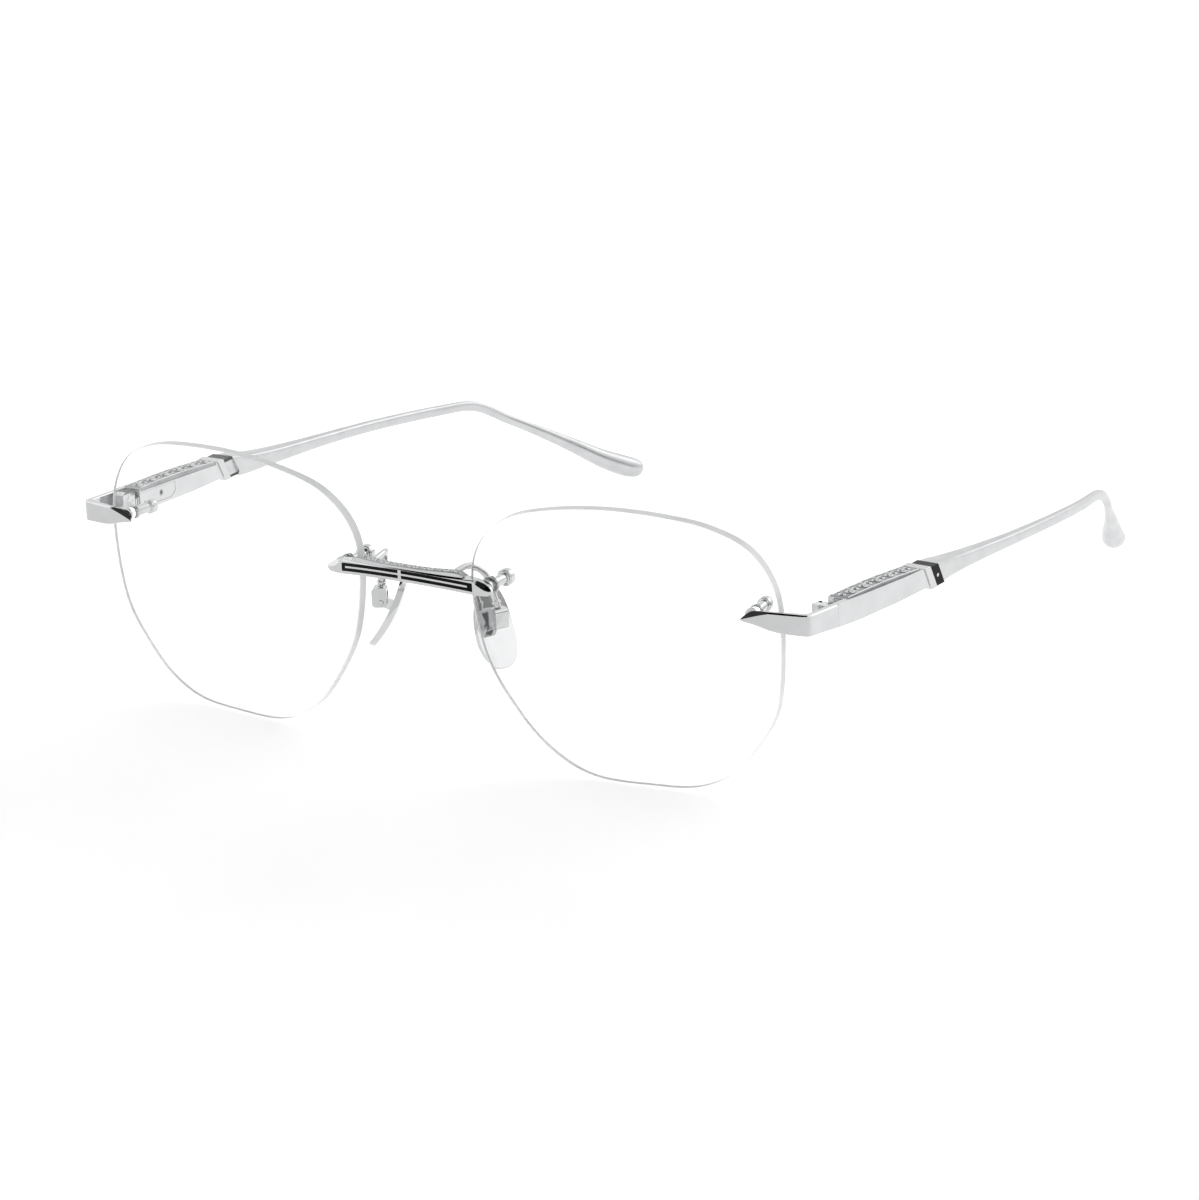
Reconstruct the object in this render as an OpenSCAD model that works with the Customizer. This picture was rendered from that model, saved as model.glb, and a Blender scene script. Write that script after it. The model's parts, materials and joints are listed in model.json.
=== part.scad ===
// Rimless eyeglasses with folding temples and rocking nose pads.
// X runs across the face (the wearer's left is +X), Y runs back along the temples, Z is up.
// The glasses stand on Z = 0 with their temples open, centred on the origin.

/* [Lenses] */
// Distance from the middle of the frame to a lens's centre
lens_x = 38; // [36:0.5:40]
// Height of a lens's centre above the table
lens_z = 23.46; // [23.3:0.01:23.6]
// Angle by which a lens turns back towards the temple
lens_wrap = 5.7; // [4:0.1:7]
// Angle by which a lens leans forward at the top
lens_tilt = 2.9; // [2:0.1:4]
// Radius of a lens's front surface
lens_front_r = 157; // [120:1:200]
// Thickness of a lens
lens_t = 1.6; // [1.5:0.1:2]

/* [Lens fittings] */
// Distance from the middle to a bridge fitting's axis
bridge_post_x = 13.6; // [13:0.1:14.2]
// Height of the bridge fittings' axes
bridge_post_z = 30.1; // [29.5:0.1:30.5]
// Distance from the middle to an end fitting's axis
end_post_x = 59.5; // [59:0.1:60]
// Height of the end fittings' axes
end_post_z = 31.1; // [30.6:0.1:31.4]
// Angle by which an end fitting turns towards the middle as it goes back
end_post_turn = 9; // [6:0.5:12]
// Diameter of the threaded post through a lens
post_d = 1.4; // [1.2:0.1:1.6]
// Diameter of the collars on the bridge posts
collar_d = 2.8; // [2.6:0.1:3]
// Diameter of the collars on the end posts
end_collar_d = 2.2; // [2.1:0.1:2.4]
// Length of the nuts on the bridge posts
bridge_nut_len = 4.9; // [4.4:0.1:5.2]
// Length of the nuts on the end posts
end_nut_len = 4.3; // [4:0.1:4.6]
// Diameter of the bridge nuts' heads
bridge_nut_d = 2.8; // [2.6:0.1:3]
// Diameter of the end nuts' heads
end_nut_d = 2.4; // [2.3:0.1:2.6]

/* [Bridge] */
// How far the middle of the bridge's front stands ahead of the lens centres
bridge_bow = 4.75; // [4.4:0.05:5]
// Depth of the bridge bar
bridge_depth = 2.45; // [2.2:0.05:2.6]
// Height of the enamel inlay
inlay_h = 1.38; // [1.2:0.02:1.5]
// Depth of the enamel inlay
inlay_depth = 0.4; // [0.3:0.05:0.5]
// Height of the metal rib along the middle of the inlay
rib_h = 0.3; // [0.2:0.05:0.4]

/* [Nose pads] */
// Diameter of the pad arm's wire
pad_wire_d = 1.05; // [0.9:0.05:1.2]
// Length of a nose pad
pad_len = 13.6; // [12:0.2:14]
// Width of a nose pad
pad_w = 7; // [6:0.2:7.4]
// Thickness of a nose pad
pad_t = 1.3; // [1.1:0.05:1.4]
// Angle between a pad and straight ahead, seen from above
pad_turn = 26.6; // [20:0.2:30]
// Angle between a pad and upright, seen from the front
pad_splay = 27; // [22:0.5:29]

/* [Temples] */
// Distance from the middle to the frame's outer corner
corner_x = 69.2; // [68.8:0.1:69.6]
// Angle by which a temple opens outwards beyond straight back
temple_flare = 2; // [1.5:0.1:2.5]
// Width of the temple's front box
box_w = 3.85; // [3.6:0.05:4]
// Thickness of the end piece's arm and of the box's outer wall
wall = 1.05; // [0.95:0.05:1.1]
// Diameter of the hinge screw's shank
screw_d = 1.2; // [1:0.05:1.3]

/* [Hidden] */

// Distance from the lens centres' plane back to the middle of the whole frame
mid_y = 69;
silver = [0.83, 0.84, 0.86];
enamel = [0.03, 0.03, 0.035];
clear = [0.85, 0.92, 0.95, 0.35];
eps = 0.01;

// ---------- shared helpers ----------

module on_left() translate([0, -mid_y, 0]) children();
module on_right() on_left() mirror([1, 0, 0]) children();

// A point on a Catmull-Rom curve between b and c
function curve_at(a, b, c, d, t) =
    0.5 * (2 * b + (c - a) * t + (2 * a - 5 * b + 4 * c - d) * t * t
           + (3 * b - a - 3 * c + d) * t * t * t);

// A smooth closed curve through the points p
function closed_curve(p, steps) = [
    for (i = [0 : len(p) - 1], s = [0 : steps - 1])
        let (n = len(p))
        curve_at(p[(i + n - 1) % n], p[i], p[(i + 1) % n], p[(i + 2) % n], s / steps)
];

// A smooth open curve through the points p
function open_curve(p, steps) = let (n = len(p)) concat([
    for (i = [0 : n - 2], s = [0 : steps - 1])
        curve_at(i > 0 ? p[i - 1] : 2 * p[0] - p[1], p[i], p[i + 1],
                 i < n - 2 ? p[i + 2] : 2 * p[n - 1] - p[n - 2], s / steps)
], [p[n - 1]]);

function unit(v) = v / norm(v);
function power(v, e) = sign(v) * pow(abs(v), e);
function place_of(s) = [s[0], s[1], s[2]];

// One ring of a swept tube: a super-ellipse w wide and h high, square on to the direction t
function ring(p, t, w, h, square, sides) =
    let (side = unit(cross(t, [0, 0, 1])), up = cross(side, t))
    [for (k = [0 : sides - 1])
        let (a = 360 * (k + 0.5) / sides)
        p + side * (w / 2) * power(cos(a), 2 / square) + up * (h / 2) * power(sin(a), 2 / square)];

// A tube through stations [x, y, z, width, height, squareness]
module sweep(stations, sides) {
    n = len(stations);
    rings = [for (i = [0 : n - 1])
        let (a = place_of(stations[max(i - 1, 0)]), b = place_of(stations[min(i + 1, n - 1)]))
        ring(place_of(stations[i]), unit(b - a), stations[i][3], stations[i][4], stations[i][5], sides)];
    points = [for (r = rings) each r];
    walls = [for (i = [0 : n - 2], k = [0 : sides - 1])
        [i * sides + k, i * sides + (k + 1) % sides,
         (i + 1) * sides + (k + 1) % sides, (i + 1) * sides + k]];
    start = [for (k = [sides - 1 : -1 : 0]) k];
    end = [for (k = [0 : sides - 1]) (n - 1) * sides + k];
    polyhedron(points, concat(walls, [start, end]), convexity = 6);
}

// A rectangle with round corners, centred
module rounded(w, h, r) {
    square([w - 2 * r, h], center = true);
    square([w, h - 2 * r], center = true);
    for (x = [-1, 1], y = [-1, 1]) translate([x * (w / 2 - r), y * (h / 2 - r)]) circle(r, $fn = 32);
}

// A flat shape in (y, z) given a thickness from x0 to x1
module side_plate(x0, x1) translate([x0, 0, 0]) rotate([90, 0, 90]) linear_extrude(x1 - x0) children();

// A flat shape in (x, z) given a depth from y0 to y1
module front_plate(y0, y1) translate([0, y1, 0]) rotate([90, 0, 0]) linear_extrude(y1 - y0) children();

// ---------- lenses ----------

// Lens outline round the lens's own centre, temple side to the right
lens_outline = [
    [26.1, 2.7], [25.4, 11.3], [21.5, 17.4], [14.9, 20.5], [7, 21.7], [-2.3, 21.9], [-12, 20.8],
    [-20.3, 18.3], [-25.8, 13.1], [-27.3, 5.8], [-25.3, -5.4], [-19.9, -14.5], [-14.5, -20],
    [-7.5, -23.2], [2.5, -23.4], [10.2, -22.8], [16.2, -20], [20.8, -15.1], [24.8, -8.1]
];

// Y of the lens's front surface at a place, in the frame's own axes
function lens_front_y(x, z) = (x - lens_x) * sin(lens_wrap) - (z - lens_z) * sin(lens_tilt)
    + (pow(x - lens_x, 2) + pow(z - lens_z, 2)) / (2 * lens_front_r);

module lens() color(clear) difference() {
    translate([lens_x, 0, lens_z]) rotate([0, 0, lens_wrap]) rotate([lens_tilt + 90, 0, 0])
    intersection() {
        translate([0, 0, -9]) linear_extrude(10) polygon(closed_curve(lens_outline, 6));
        translate([0, 0, -lens_front_r]) difference() {
            sphere(lens_front_r, $fn = 240);
            sphere(lens_front_r - lens_t, $fn = 240);
        }
    }
    bridge_fitting() lens_hole();
    end_fitting() lens_hole();
}
module lens_hole() translate([0, 0, -2]) cylinder(d = sleeve_d + 0.1, h = lens_t + 4, $fn = 48);

// ---------- lens fittings ----------

sleeve_d = 1.8;
// Stations along a fitting's axis, from the lens's front surface backwards
front_collar_z = [-0.35, -0.12];
sleeve_z = [0.05, lens_t - 0.05];
washer_z = [lens_t + 0.2, lens_t + 0.48];
nut_z = lens_t + 0.52;

module bridge_fitting()
    translate([bridge_post_x, lens_front_y(bridge_post_x, bridge_post_z), bridge_post_z])
    rotate([-90, 0, 0]) children();
module end_fitting()
    translate([end_post_x, lens_front_y(end_post_x, end_post_z), end_post_z])
    rotate([0, 0, end_post_turn]) rotate([-90, 0, 0]) children();
module four_rings(bridge_d, end_d, z) for (flip = [0, 1]) on_left() mirror([flip, 0, 0]) {
    bridge_fitting() disc(bridge_d, post_d + 0.1, z);
    end_fitting() disc(end_d, post_d + 0.1, z);
}

module disc(d, hole, z) translate([0, 0, z[0]]) difference() {
    cylinder(d = d, h = z[1] - z[0], $fn = 48);
    translate([0, 0, -1]) cylinder(d = hole, h = z[1] - z[0] + 2, $fn = 48);
}

// A nut turned with a base flange, a narrow waist and a round head with bevelled rims
module nut(len, d, base_d) translate([0, 0, nut_z]) rotate_extrude($fn = 48) difference() {
    base = 0.45;
    waist = 0.85;
    head = 1.3;
    bevel = 0.25;
    polygon([
        [0, 0], [base_d / 2 - 0.1, 0], [base_d / 2, 0.12], [base_d / 2, base - 0.12],
        [base_d / 2 - 0.12, base], [waist, base], [waist, len - head], [d / 2 - bevel, len - head],
        [d / 2, len - head + bevel], [d / 2, len - bevel], [d / 2 - bevel, len], [0, len]
    ]);
    translate([0, -1]) square([post_d / 2 + 0.05, len - 0.2 + 1]);
}

module post(nut_len, start) translate([0, 0, start])
    cylinder(d = post_d, h = nut_z + nut_len - 0.3 - start, $fn = 48);

module lens_posts() color(silver) {
    for (flip = [0, 1]) on_left() mirror([flip, 0, 0]) {
        bridge_fitting() post(bridge_nut_len, bridge_back_end - lens_front_y(bridge_post_x, bridge_post_z));
        difference() {
            end_fitting() post(end_nut_len, -0.7);
            end_plate_solid();
        }
    }
}
module front_collars() color(silver) four_rings(collar_d, end_collar_d, front_collar_z);
module lens_sleeves() color(clear) four_rings(sleeve_d, sleeve_d, sleeve_z);
module rear_washers() color(clear) four_rings(collar_d - 0.1, end_collar_d - 0.1, washer_z);
module post_nuts() color(silver) {
    for (flip = [0, 1]) on_left() mirror([flip, 0, 0]) {
        bridge_fitting() nut(bridge_nut_len, bridge_nut_d, collar_d);
        end_fitting() nut(end_nut_len, end_nut_d, end_collar_d);
    }
}

// ---------- bridge ----------

bridge_curve = 0.0124;
bridge_back_end = -1.1;
// Y of the bridge's front face, and heights of the inlay's middle, the bar's foot and its top
function bridge_front(x) = bridge_curve * x * x - bridge_bow;
function inlay_mid(x) = 31.5 - 0.0066 * x * x;
function bar_foot(x) = 30.3 - 0.0066 * x * x;
function bar_top(x) = 32.2 - 0.0036 * x * x;
inlay_end = 12.4;
// The bar's back follows the bow up to bow_end, and runs straight to the fittings beyond it
bow_end = 8;
function bar_back(x) = x < bow_end ? bridge_front(x) + bridge_depth
    : lookup(x, [[bow_end, bridge_front(bow_end) + bridge_depth], [11.8, bridge_back_end]]);
// How far the engraved platform stands above the bar, fuller towards its ends
platform_end = 11;
platform_ledge = 1;
function platform_rise(x) = lookup(x, [[0, 0.3], [4, 0.32], [7, 0.5], [9, 0.66], [10, 0.5], [11, 0.05]]);

function both_ways(right) = concat(right, [for (i = [len(right) - 1 : -1 : 0]) [-right[i][0], right[i][1]]]);

// The bar from above
module bar_plan() polygon(both_ways(concat(
    [for (x = [0.9 : 1.8 : 12.6]) [x, bridge_front(x)]],
    [[13.6, -2.62], [15, -2.5], [15.6, -2.3], [15.4, -1.8], [14.9, bridge_back_end],
     [11.8, bridge_back_end]],
    [for (x = [bow_end : -1.6 : 0]) [max(x, eps), bar_back(x)]]
)));

// The bar from the front
module bar_elevation() polygon(both_ways(concat(
    [for (x = [0.5 : 1.5 : 12.6]) [x, bar_foot(x)]],
    [[13.4, 29.2], [15.1, 29.35], [15.63, 29.85], [15.2, 30.5], [14.2, 31.1], [12.9, 31.6]],
    [for (x = [12.2 : -1.5 : 0]) [x, bar_top(x)]]
)));

// The engraved platform from above and from the front
module platform_plan() polygon(both_ways(concat(
    [for (x = [1 : 2 : platform_end]) [x, bridge_front(x) + platform_ledge]],
    [for (x = [platform_end : -1 : 1]) [x, bar_back(x)]]
)));
module platform_elevation() polygon(both_ways(concat(
    [for (x = [1 : 2 : platform_end]) [x, bar_foot(x) + 0.2]],
    [for (x = [platform_end : -1 : 1]) [x, bar_top(x) + platform_rise(x)]]
)));

// A band of the bar's front face from x0 to x1, inlay_depth deep
module inlay_band(x0, x1, h) intersection() {
    steps = 8;
    xs = [for (i = [0 : steps]) x0 + (x1 - x0) * i / steps];
    translate([0, 0, 25]) linear_extrude(10) polygon(concat(
        [for (x = xs) [x, bridge_front(x) - 0.3]],
        [for (i = [steps : -1 : 0]) [xs[i], bridge_front(xs[i]) + inlay_depth]]));
    front_plate(-8, 2) polygon(concat(
        [for (x = xs) [x, inlay_mid(x) - h / 2]],
        [for (i = [steps : -1 : 0]) [xs[i], inlay_mid(xs[i]) + h / 2]]));
}

module bar_solid() {
    intersection() {
        translate([0, 0, 25]) linear_extrude(10) bar_plan();
        front_plate(-8, 2) bar_elevation();
    }
    intersection() {
        translate([0, 0, 25]) linear_extrude(10) platform_plan();
        front_plate(-8, 2) platform_elevation();
    }
}

module bridge_bar() color(silver) on_left() difference() {
    bar_solid();
    for (flip = [0, 1]) mirror([flip, 0, 0]) inlay_channel();
}

// The U-shaped enamel channel of one half, round the middle rib
module inlay_channel() difference() {
    inlay_band(0.3, inlay_end, inlay_h);
    inlay_band(0.2, inlay_end - 0.8, rib_h);
}
module bridge_inlay() color(enamel) intersection() {
    inlay_channel();
    bar_solid();
}

// ---------- nose pads ----------

// Pivot of a nose pad, on the pin through its box
pad_pivot = [11.4, 6, 22.3];
box_above_pin = 0.75;
box_size = [2.4, 2.3, 3.2];
slot_w = 1.1;
pin_d = 0.75;
// Where the pin runs, seen from the pad's own centre
lug_at = [2.55, 0.1, 0.5];

pad_arm_route = [
    [7.6, -1.5, 31.4], [7.7, 0.6, 31.75], [8.0, 2.6, 31.85], [8.8, 4.3, 31.4], [9.8, 5.3, 30.2],
    [10.35, 5.8, 28.4], [10.8, 6, 26.6], [11.55, 5.95, 24.75]
];

module pad_arm() color(silver)
    sweep([for (p = open_curve(pad_arm_route, 5)) [p[0], p[1], p[2], pad_wire_d, pad_wire_d, 2]], 12);

module pad_place() translate(pad_pivot) rotate([0, 0, -pad_turn]) children();

// The box, a block with round edges, slotted for the pad's lug
module pad_box() color(silver) pad_place() difference() {
    translate([0.25, 0, box_above_pin]) front_plate(-box_size[1] / 2, box_size[1] / 2)
        rounded(box_size[0], box_size[2], 0.6);
    translate([-3, -slot_w / 2, -2]) cube([3.9, slot_w, 3.6]);
    rotate([90, 0, 0]) cylinder(d = pin_d + 0.04, h = 4, center = true, $fn = 32);
}
module pad_pin() color(silver) pad_place() rotate([90, 0, 0]) {
    cylinder(d = pin_d, h = box_size[1], center = true, $fn = 32);
    for (end = [0, 1]) mirror([0, 0, end]) translate([0, 0, box_size[1] / 2])
        cylinder(d1 = pin_d + 0.2, d2 = pin_d, h = 0.12, $fn = 32);
}

// How much a pad narrows from its middle to its top, and the angle it leans in its own plane
pad_taper = 0.14;
pad_lean = 5;

// A thin dished drop-shaped plate with a lug on its back
module nose_pad() color(silver) pad_place() rotate([0, -pad_splay, 0]) translate(-lug_at) {
    dish_r = 22;
    turns = [0 : 7.5 : 352.5];
    intersection() {
        rotate([-pad_lean, 0, 0]) translate([-3, 0, 0]) rotate([90, 0, 90]) linear_extrude(8) polygon(
            [for (a = turns) let (z = power(sin(a), 0.85))
                [pad_w / 2 * power(cos(a), 0.85) * (1 - pad_taper * z), pad_len / 2 * z]]);
        translate([dish_r - pad_t / 2, 0, 0]) difference() {
            sphere(dish_r, $fn = 160);
            sphere(dish_r - pad_t, $fn = 160);
        }
    }
    difference() {
        translate([0, lug_at[1], 0]) front_plate(-0.45, 0.45) {
            translate([lug_at[0], lug_at[2]]) circle(0.8, $fn = 48);
            polygon([[0.4, -0.3], [lug_at[0], lug_at[2] - 0.8], [lug_at[0], lug_at[2] + 0.8], [0.4, 1.3]]);
        }
        translate(lug_at) rotate([90, 0, 0]) cylinder(d = pin_d + 0.1, h = 4, center = true, $fn = 32);
    }
}

// ---------- end pieces ----------

end_tip = [58.1, 2.1];
corner_y = 3.8;
split_y = 8.4;
corner_r = 1.2;

// The temple's own axes: x 0 on its outer face, y running back from the corner
module temple_frame() translate([corner_x, corner_y, 0]) rotate([0, 0, -temple_flare]) children();

// Heights of the box's top and bottom along the temple
function box_top(y) = 32.05 - 0.0715 * y;
box_bottom = [
    [-2, 28.75], [1.7, 28.55], [7.5, 27.85], [14.1, 27.24], [20.8, 26.9], [26.4, 26.6], [34.6, 26.44]
];
function bottom_at(y, i = 0) =
    i > len(box_bottom) - 3 || y < box_bottom[i + 1][0]
    ? lookup(y, box_bottom) : bottom_at(y, i + 1);

// The box's side view from y0 to y1, its top and bottom moved in by inset
module box_side(y0, y1, inset, slope = 0) polygon(concat(
    [[y0, bottom_at(y0) + inset]],
    [for (p = box_bottom) if (p[0] > y0 && p[0] < y1) [p[0], p[1] + inset]],
    [[y1 + slope * (slant_z - bottom_at(y1)), bottom_at(y1) + inset],
     [y1 + slope * (slant_z - box_top(y1)), box_top(y1) - inset], [y0, box_top(y0) - inset]]
));

// A side view with slanted ends: y0 and y1 are taken at the height slant_z
slant = 0.5;
slant_z = 29.6;
module slanted(y0, y1, z0, z1) polygon([for (p = [[y0, z0], [y1, z0], [y1, z1], [y0, z1]])
    [p[0] + slant * (slant_z - p[1]), p[1]]]);

// The plate across the lens's corner: a blade pointed towards the nose
module end_plate_solid() intersection() {
    translate([0, 0, 26]) linear_extrude(8) polygon([
        end_tip, [corner_x - 1.6, corner_y - 0.26], [corner_x - 1.1, corner_y + 0.9],
        [64, 3.9], [end_tip[0] + 0.2, end_tip[1] + 0.62]
    ]);
    front_plate(0, 8) polygon([
        [58.1, 30.35], [58.8, 31.4], [60, 31.85], [61.6, 31.98], [corner_x + 1, 32.05],
        [corner_x + 1, 28.75], [64.5, 28.8], [62.8, 29.1], [60.4, 29.8]
    ]);
}

module end_piece() color(silver) {
    end_plate_solid();
    // Rounded corner and the arm that runs back to the hinge
    temple_frame() intersection() {
        translate([0, 0, 26]) linear_extrude(8) difference() {
            union() {
                translate([-corner_r, corner_r - 0.2]) circle(corner_r, $fn = 48);
                translate([-wall, corner_r - 0.2]) square([wall, split_y - corner_r + 0.2]);
                translate([-2.6, -0.2]) square([2.6 - corner_r, 1.3]);
            }
            translate([-3, 1.1]) square([3 - wall, 8]);
        }
        side_plate(-5, 1) box_side(-1, split_y, 0);
    }
}

// ---------- hinge ----------

hinge_at = [-2.5, 10];
knuckle_r = 1.2;
block_start = 6.9;
knuckle_z = [28.55, 29.75];
knuckle_gap = 0.05;
// The knuckles lie in a notch below the temple's top
notch_y = 9.1;
notch_z = 30.6;

module on_hinge() temple_frame() translate([hinge_at[0], hinge_at[1], 0]) children();
module hinge_bore() translate([0, 0, 20]) cylinder(d = screw_d + 0.08, h = 20, $fn = 48);

// A block on the end piece's arm with an upper and a lower knuckle
module hinge_front() color(silver) difference() {
    union() {
        temple_frame() side_plate(-box_w, -wall) box_side(block_start, split_y - 0.1, 0.15);
        intersection() {
            on_hinge() {
                cylinder(r = knuckle_r, h = 40, $fn = 48);
                translate([-knuckle_r, block_start - hinge_at[1], 0])
                    cube([2 * knuckle_r, hinge_at[1] - block_start, 40]);
            }
            temple_frame() side_plate(-5, 0) box_side(block_start, 12, 0.15);
        }
    }
    on_hinge() translate([-4, -knuckle_r - 0.15, knuckle_z[0] - knuckle_gap])
        cube([8, 5, knuckle_z[1] - knuckle_z[0] + 2 * knuckle_gap]);
    on_hinge() hinge_bore();
    // Recess for the screw's head
    on_hinge() translate([0, 0, screw_head_z]) cylinder(d = screw_head_d + 0.08, h = 3, $fn = 48);
    temple_frame() translate([-6, notch_y, notch_z]) cube([6, 5, 3]);
}
screw_head_z = 30.25;
screw_head_h = 0.35;
screw_head_d = 1.9;

module hinge_screw() color(silver) on_hinge() difference() {
    union() {
        translate([0, 0, bottom_at(hinge_at[1]) + 0.3])
            cylinder(d = screw_d, h = screw_head_z - bottom_at(hinge_at[1]) - 0.3, $fn = 48);
        translate([0, 0, screw_head_z]) cylinder(d = screw_head_d, h = screw_head_h, $fn = 48);
    }
    translate([-2, -0.12, screw_head_z + 0.18]) cube([4, 0.24, 1]);
}

// ---------- temples ----------

pocket_y = [11.5, 21.3];
strip_y = [11.7, 33.2];
box_end = 33.6;
collar_y = [33.61, 35.28];
band_y = [35.3, 37.7];
band_top = 29.42;
band_foot = 25.85;
enamel_t = 0.5;
tang = [1.6, 1.6];
tang_z = 27.9;
tang_start = 29;

// The hinge's rear knuckle and the block that fills the temple's inner pocket
module hinge_leaf() color(silver) difference() {
    union() {
        on_hinge() translate([0, 0, knuckle_z[0]]) {
            cylinder(r = knuckle_r, h = knuckle_z[1] - knuckle_z[0], $fn = 48);
            translate([-0.95, 0, 0]) cube([1.9, 2.5, knuckle_z[1] - knuckle_z[0]]);
        }
        temple_frame() leaf_block(0);
    }
    on_hinge() hinge_bore();
    temple_frame() leaf_pin_hole(0.02);
}
module leaf_block(room) side_plate(-box_w - room * 10, -1.5 + room)
    polygon([
        [pocket_y[0] - room, bottom_at(pocket_y[0]) + 0.6 - room],
        [pocket_y[1] - 1.2, bottom_at(pocket_y[1]) + 0.6 - room],
        [pocket_y[1] + room, bottom_at(pocket_y[1]) + 1.4],
        [pocket_y[1] + room, box_top(pocket_y[1]) - 0.7 + room],
        [pocket_y[0] - room, box_top(pocket_y[0]) - 0.7 + room]
    ]);
leaf_pin_at = [17.4, 28.95];
leaf_pin_d = 0.9;
module leaf_pin_hole(room) translate([-box_w - 0.05, leaf_pin_at[0], leaf_pin_at[1]]) rotate([0, 90, 0])
    cylinder(d = leaf_pin_d + 2 * room, h = box_w - 0.5, $fn = 32);
module leaf_pin() color(silver) temple_frame() leaf_pin_hole(0);

// The temple's front box: outer wall, floor and inner wall, with a pocket for the hinge leaf
module temple_box() color(silver) temple_frame() difference() {
    union() {
        side_plate(-wall, 0) box_side(split_y + 0.02, box_end, 0, slant);
        side_plate(-box_w, -wall + eps) box_side(pocket_y[0], box_end, 0, slant);
        // Seat beside the upper knuckle
        translate([hinge_at[0], hinge_at[1], knuckle_z[1] + knuckle_gap]) difference() {
            cube([-hinge_at[0] - wall + eps, pocket_y[0] - hinge_at[1] + eps,
                  notch_z - knuckle_z[1] - knuckle_gap]);
            translate([0, 0, -1]) cylinder(r = knuckle_r + 0.1, h = 3, $fn = 48);
        }
    }
    leaf_block(0.03);
    leaf_pin_hole(0.02);
    strip_solid(0.02);
    tang_solid(0.03);
}

strip_crown = 0.25;
function strip_top(y) =
    box_top(y) + 0.12 + strip_crown * sin(180 * (y - strip_y[0]) / (strip_y[1] - strip_y[0]));
module strip_solid(room) side_plate(-box_w - room * 10, -0.45 + room) polygon(concat(
    [for (y = [strip_y[0] - room, strip_y[1] + room]) [y, box_top(y) - 0.4 - room]],
    [for (i = [8 : -1 : 0]) let (y = strip_y[0] + 0.4 + (strip_y[1] + room - strip_y[0] - 0.4) * i / 8)
        [y, strip_top(y)]],
    [[strip_y[0] - room, box_top(strip_y[0]) - 0.05]]
));
module engraved_strip() color(silver) temple_frame() strip_solid(0);

module tang_solid(room)
    translate([-box_w / 2 - tang[0] / 2 - room, tang_start - room, tang_z - tang[1] / 2 - room])
    cube([tang[0] + 2 * room, band_y[1] - tang_start, tang[1] + 2 * room]);

collar_proud = 0.2;
module temple_collar() color(silver) temple_frame() difference() {
    side_plate(-box_w - collar_proud, collar_proud)
        slanted(collar_y[0], collar_y[1], band_foot - 0.05, band_top + collar_proud + 0.1);
    tang_solid(0.03);
}

module band_core() side_plate(-box_w, -enamel_t)
    slanted(band_y[0], band_y[1] + 0.3, band_foot + enamel_t, band_top - enamel_t);
band_mid_z = (band_top + band_foot) / 2;
module stud_hole(room)
    translate([-enamel_t, (band_y[0] + band_y[1]) / 2 + slant * (slant_z - band_mid_z), band_mid_z])
    rotate([0, 90, 0]) cylinder(d = 0.6 + 2 * room, h = enamel_t + 0.08, $fn = 32);

// Enamel round the top, the outer side and the foot of the arm's front end
module enamel_band() color(enamel) temple_frame() difference() {
    side_plate(-box_w, 0) slanted(band_y[0], band_y[1] - 0.02, band_foot, band_top);
    band_core();
    stud_hole(0.02);
}
module band_stud() color(silver) temple_frame() stud_hole(0);

// Stations along the arm from the band to the tip: [x, y, z, width, height, squareness]
arm_stations = [
    [68.55, 40, 27.8, 3.85, 3.58, 8], [68.15, 44, 27.25, 3.85, 3.55, 7],
    [67.8, 48, 26.75, 3.45, 3.15, 5],
    [67.66, 54, 26.15, 2.95, 2.7, 4], [67.64, 61, 25.5, 2.45, 2.35, 3.5], [67.6, 70, 24.7, 2.05, 2.05, 3],
    [67.15, 82, 23.6, 1.75, 1.92, 2.6], [66.1, 94, 22.35, 1.55, 1.88, 2.4], [65.1, 101, 21.6, 1.48, 1.85, 2.3],
    [64.25, 105.5, 21.15, 1.42, 1.82, 2.2], [63.8, 108, 20.75, 1.35, 1.8, 2.2],
    [63.35, 110.4, 20.05, 1.3, 1.75, 2.2], [62.6, 113, 18.75, 1.28, 1.7, 2.2],
    [61.3, 116.6, 16.45, 1.3, 1.7, 2.2], [59, 121.4, 13.55, 1.5, 1.85, 2.1],
    [55.7, 128.7, 8.95, 2.45, 2.5, 2], [52.9, 134.4, 5.1, 3.5, 3.3, 2], [51, 138.5, 2.8, 4.05, 3.75, 2],
    [50, 140.6, 1.85, 3.9, 3.55, 2], [49.45, 141.8, 1.4, 3.2, 2.9, 2], [49.2, 142.3, 1.2, 1.9, 1.8, 2],
    [49.1, 142.5, 1.1, 0.6, 0.5, 2]
];

// The rear arm in one piece, with its core under the enamel and its tang in the box
module temple_arm() color(silver) {
    difference() {
        sweep(open_curve(arm_stations, 3), 20);
        temple_frame() side_plate(-10, 10) slanted(20, band_y[1], 15, 35);
    }
    temple_frame() {
        band_core();
        tang_solid(0);
    }
}

on_left() lens();  // lens_left
on_right() lens();  // lens_right
bridge_bar();
on_left() bridge_inlay();  // bridge_inlay_left
on_right() bridge_inlay();  // bridge_inlay_right
lens_posts();
front_collars();
lens_sleeves();
rear_washers();
post_nuts();
on_left() pad_arm();  // pad_arm_left
on_right() pad_arm();  // pad_arm_right
on_left() pad_box();  // pad_box_left
on_right() pad_box();  // pad_box_right
on_left() pad_pin();  // pad_pin_left
on_right() pad_pin();  // pad_pin_right
on_left() nose_pad();  // nose_pad_left
on_right() nose_pad();  // nose_pad_right
on_left() end_piece();  // end_piece_left
on_right() end_piece();  // end_piece_right
on_left() hinge_front();  // hinge_front_left
on_right() hinge_front();  // hinge_front_right
on_left() hinge_screw();  // hinge_screw_left
on_right() hinge_screw();  // hinge_screw_right
on_left() hinge_leaf();  // hinge_leaf_left
on_right() hinge_leaf();  // hinge_leaf_right
on_left() leaf_pin();  // leaf_pin_left
on_right() leaf_pin();  // leaf_pin_right
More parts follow.
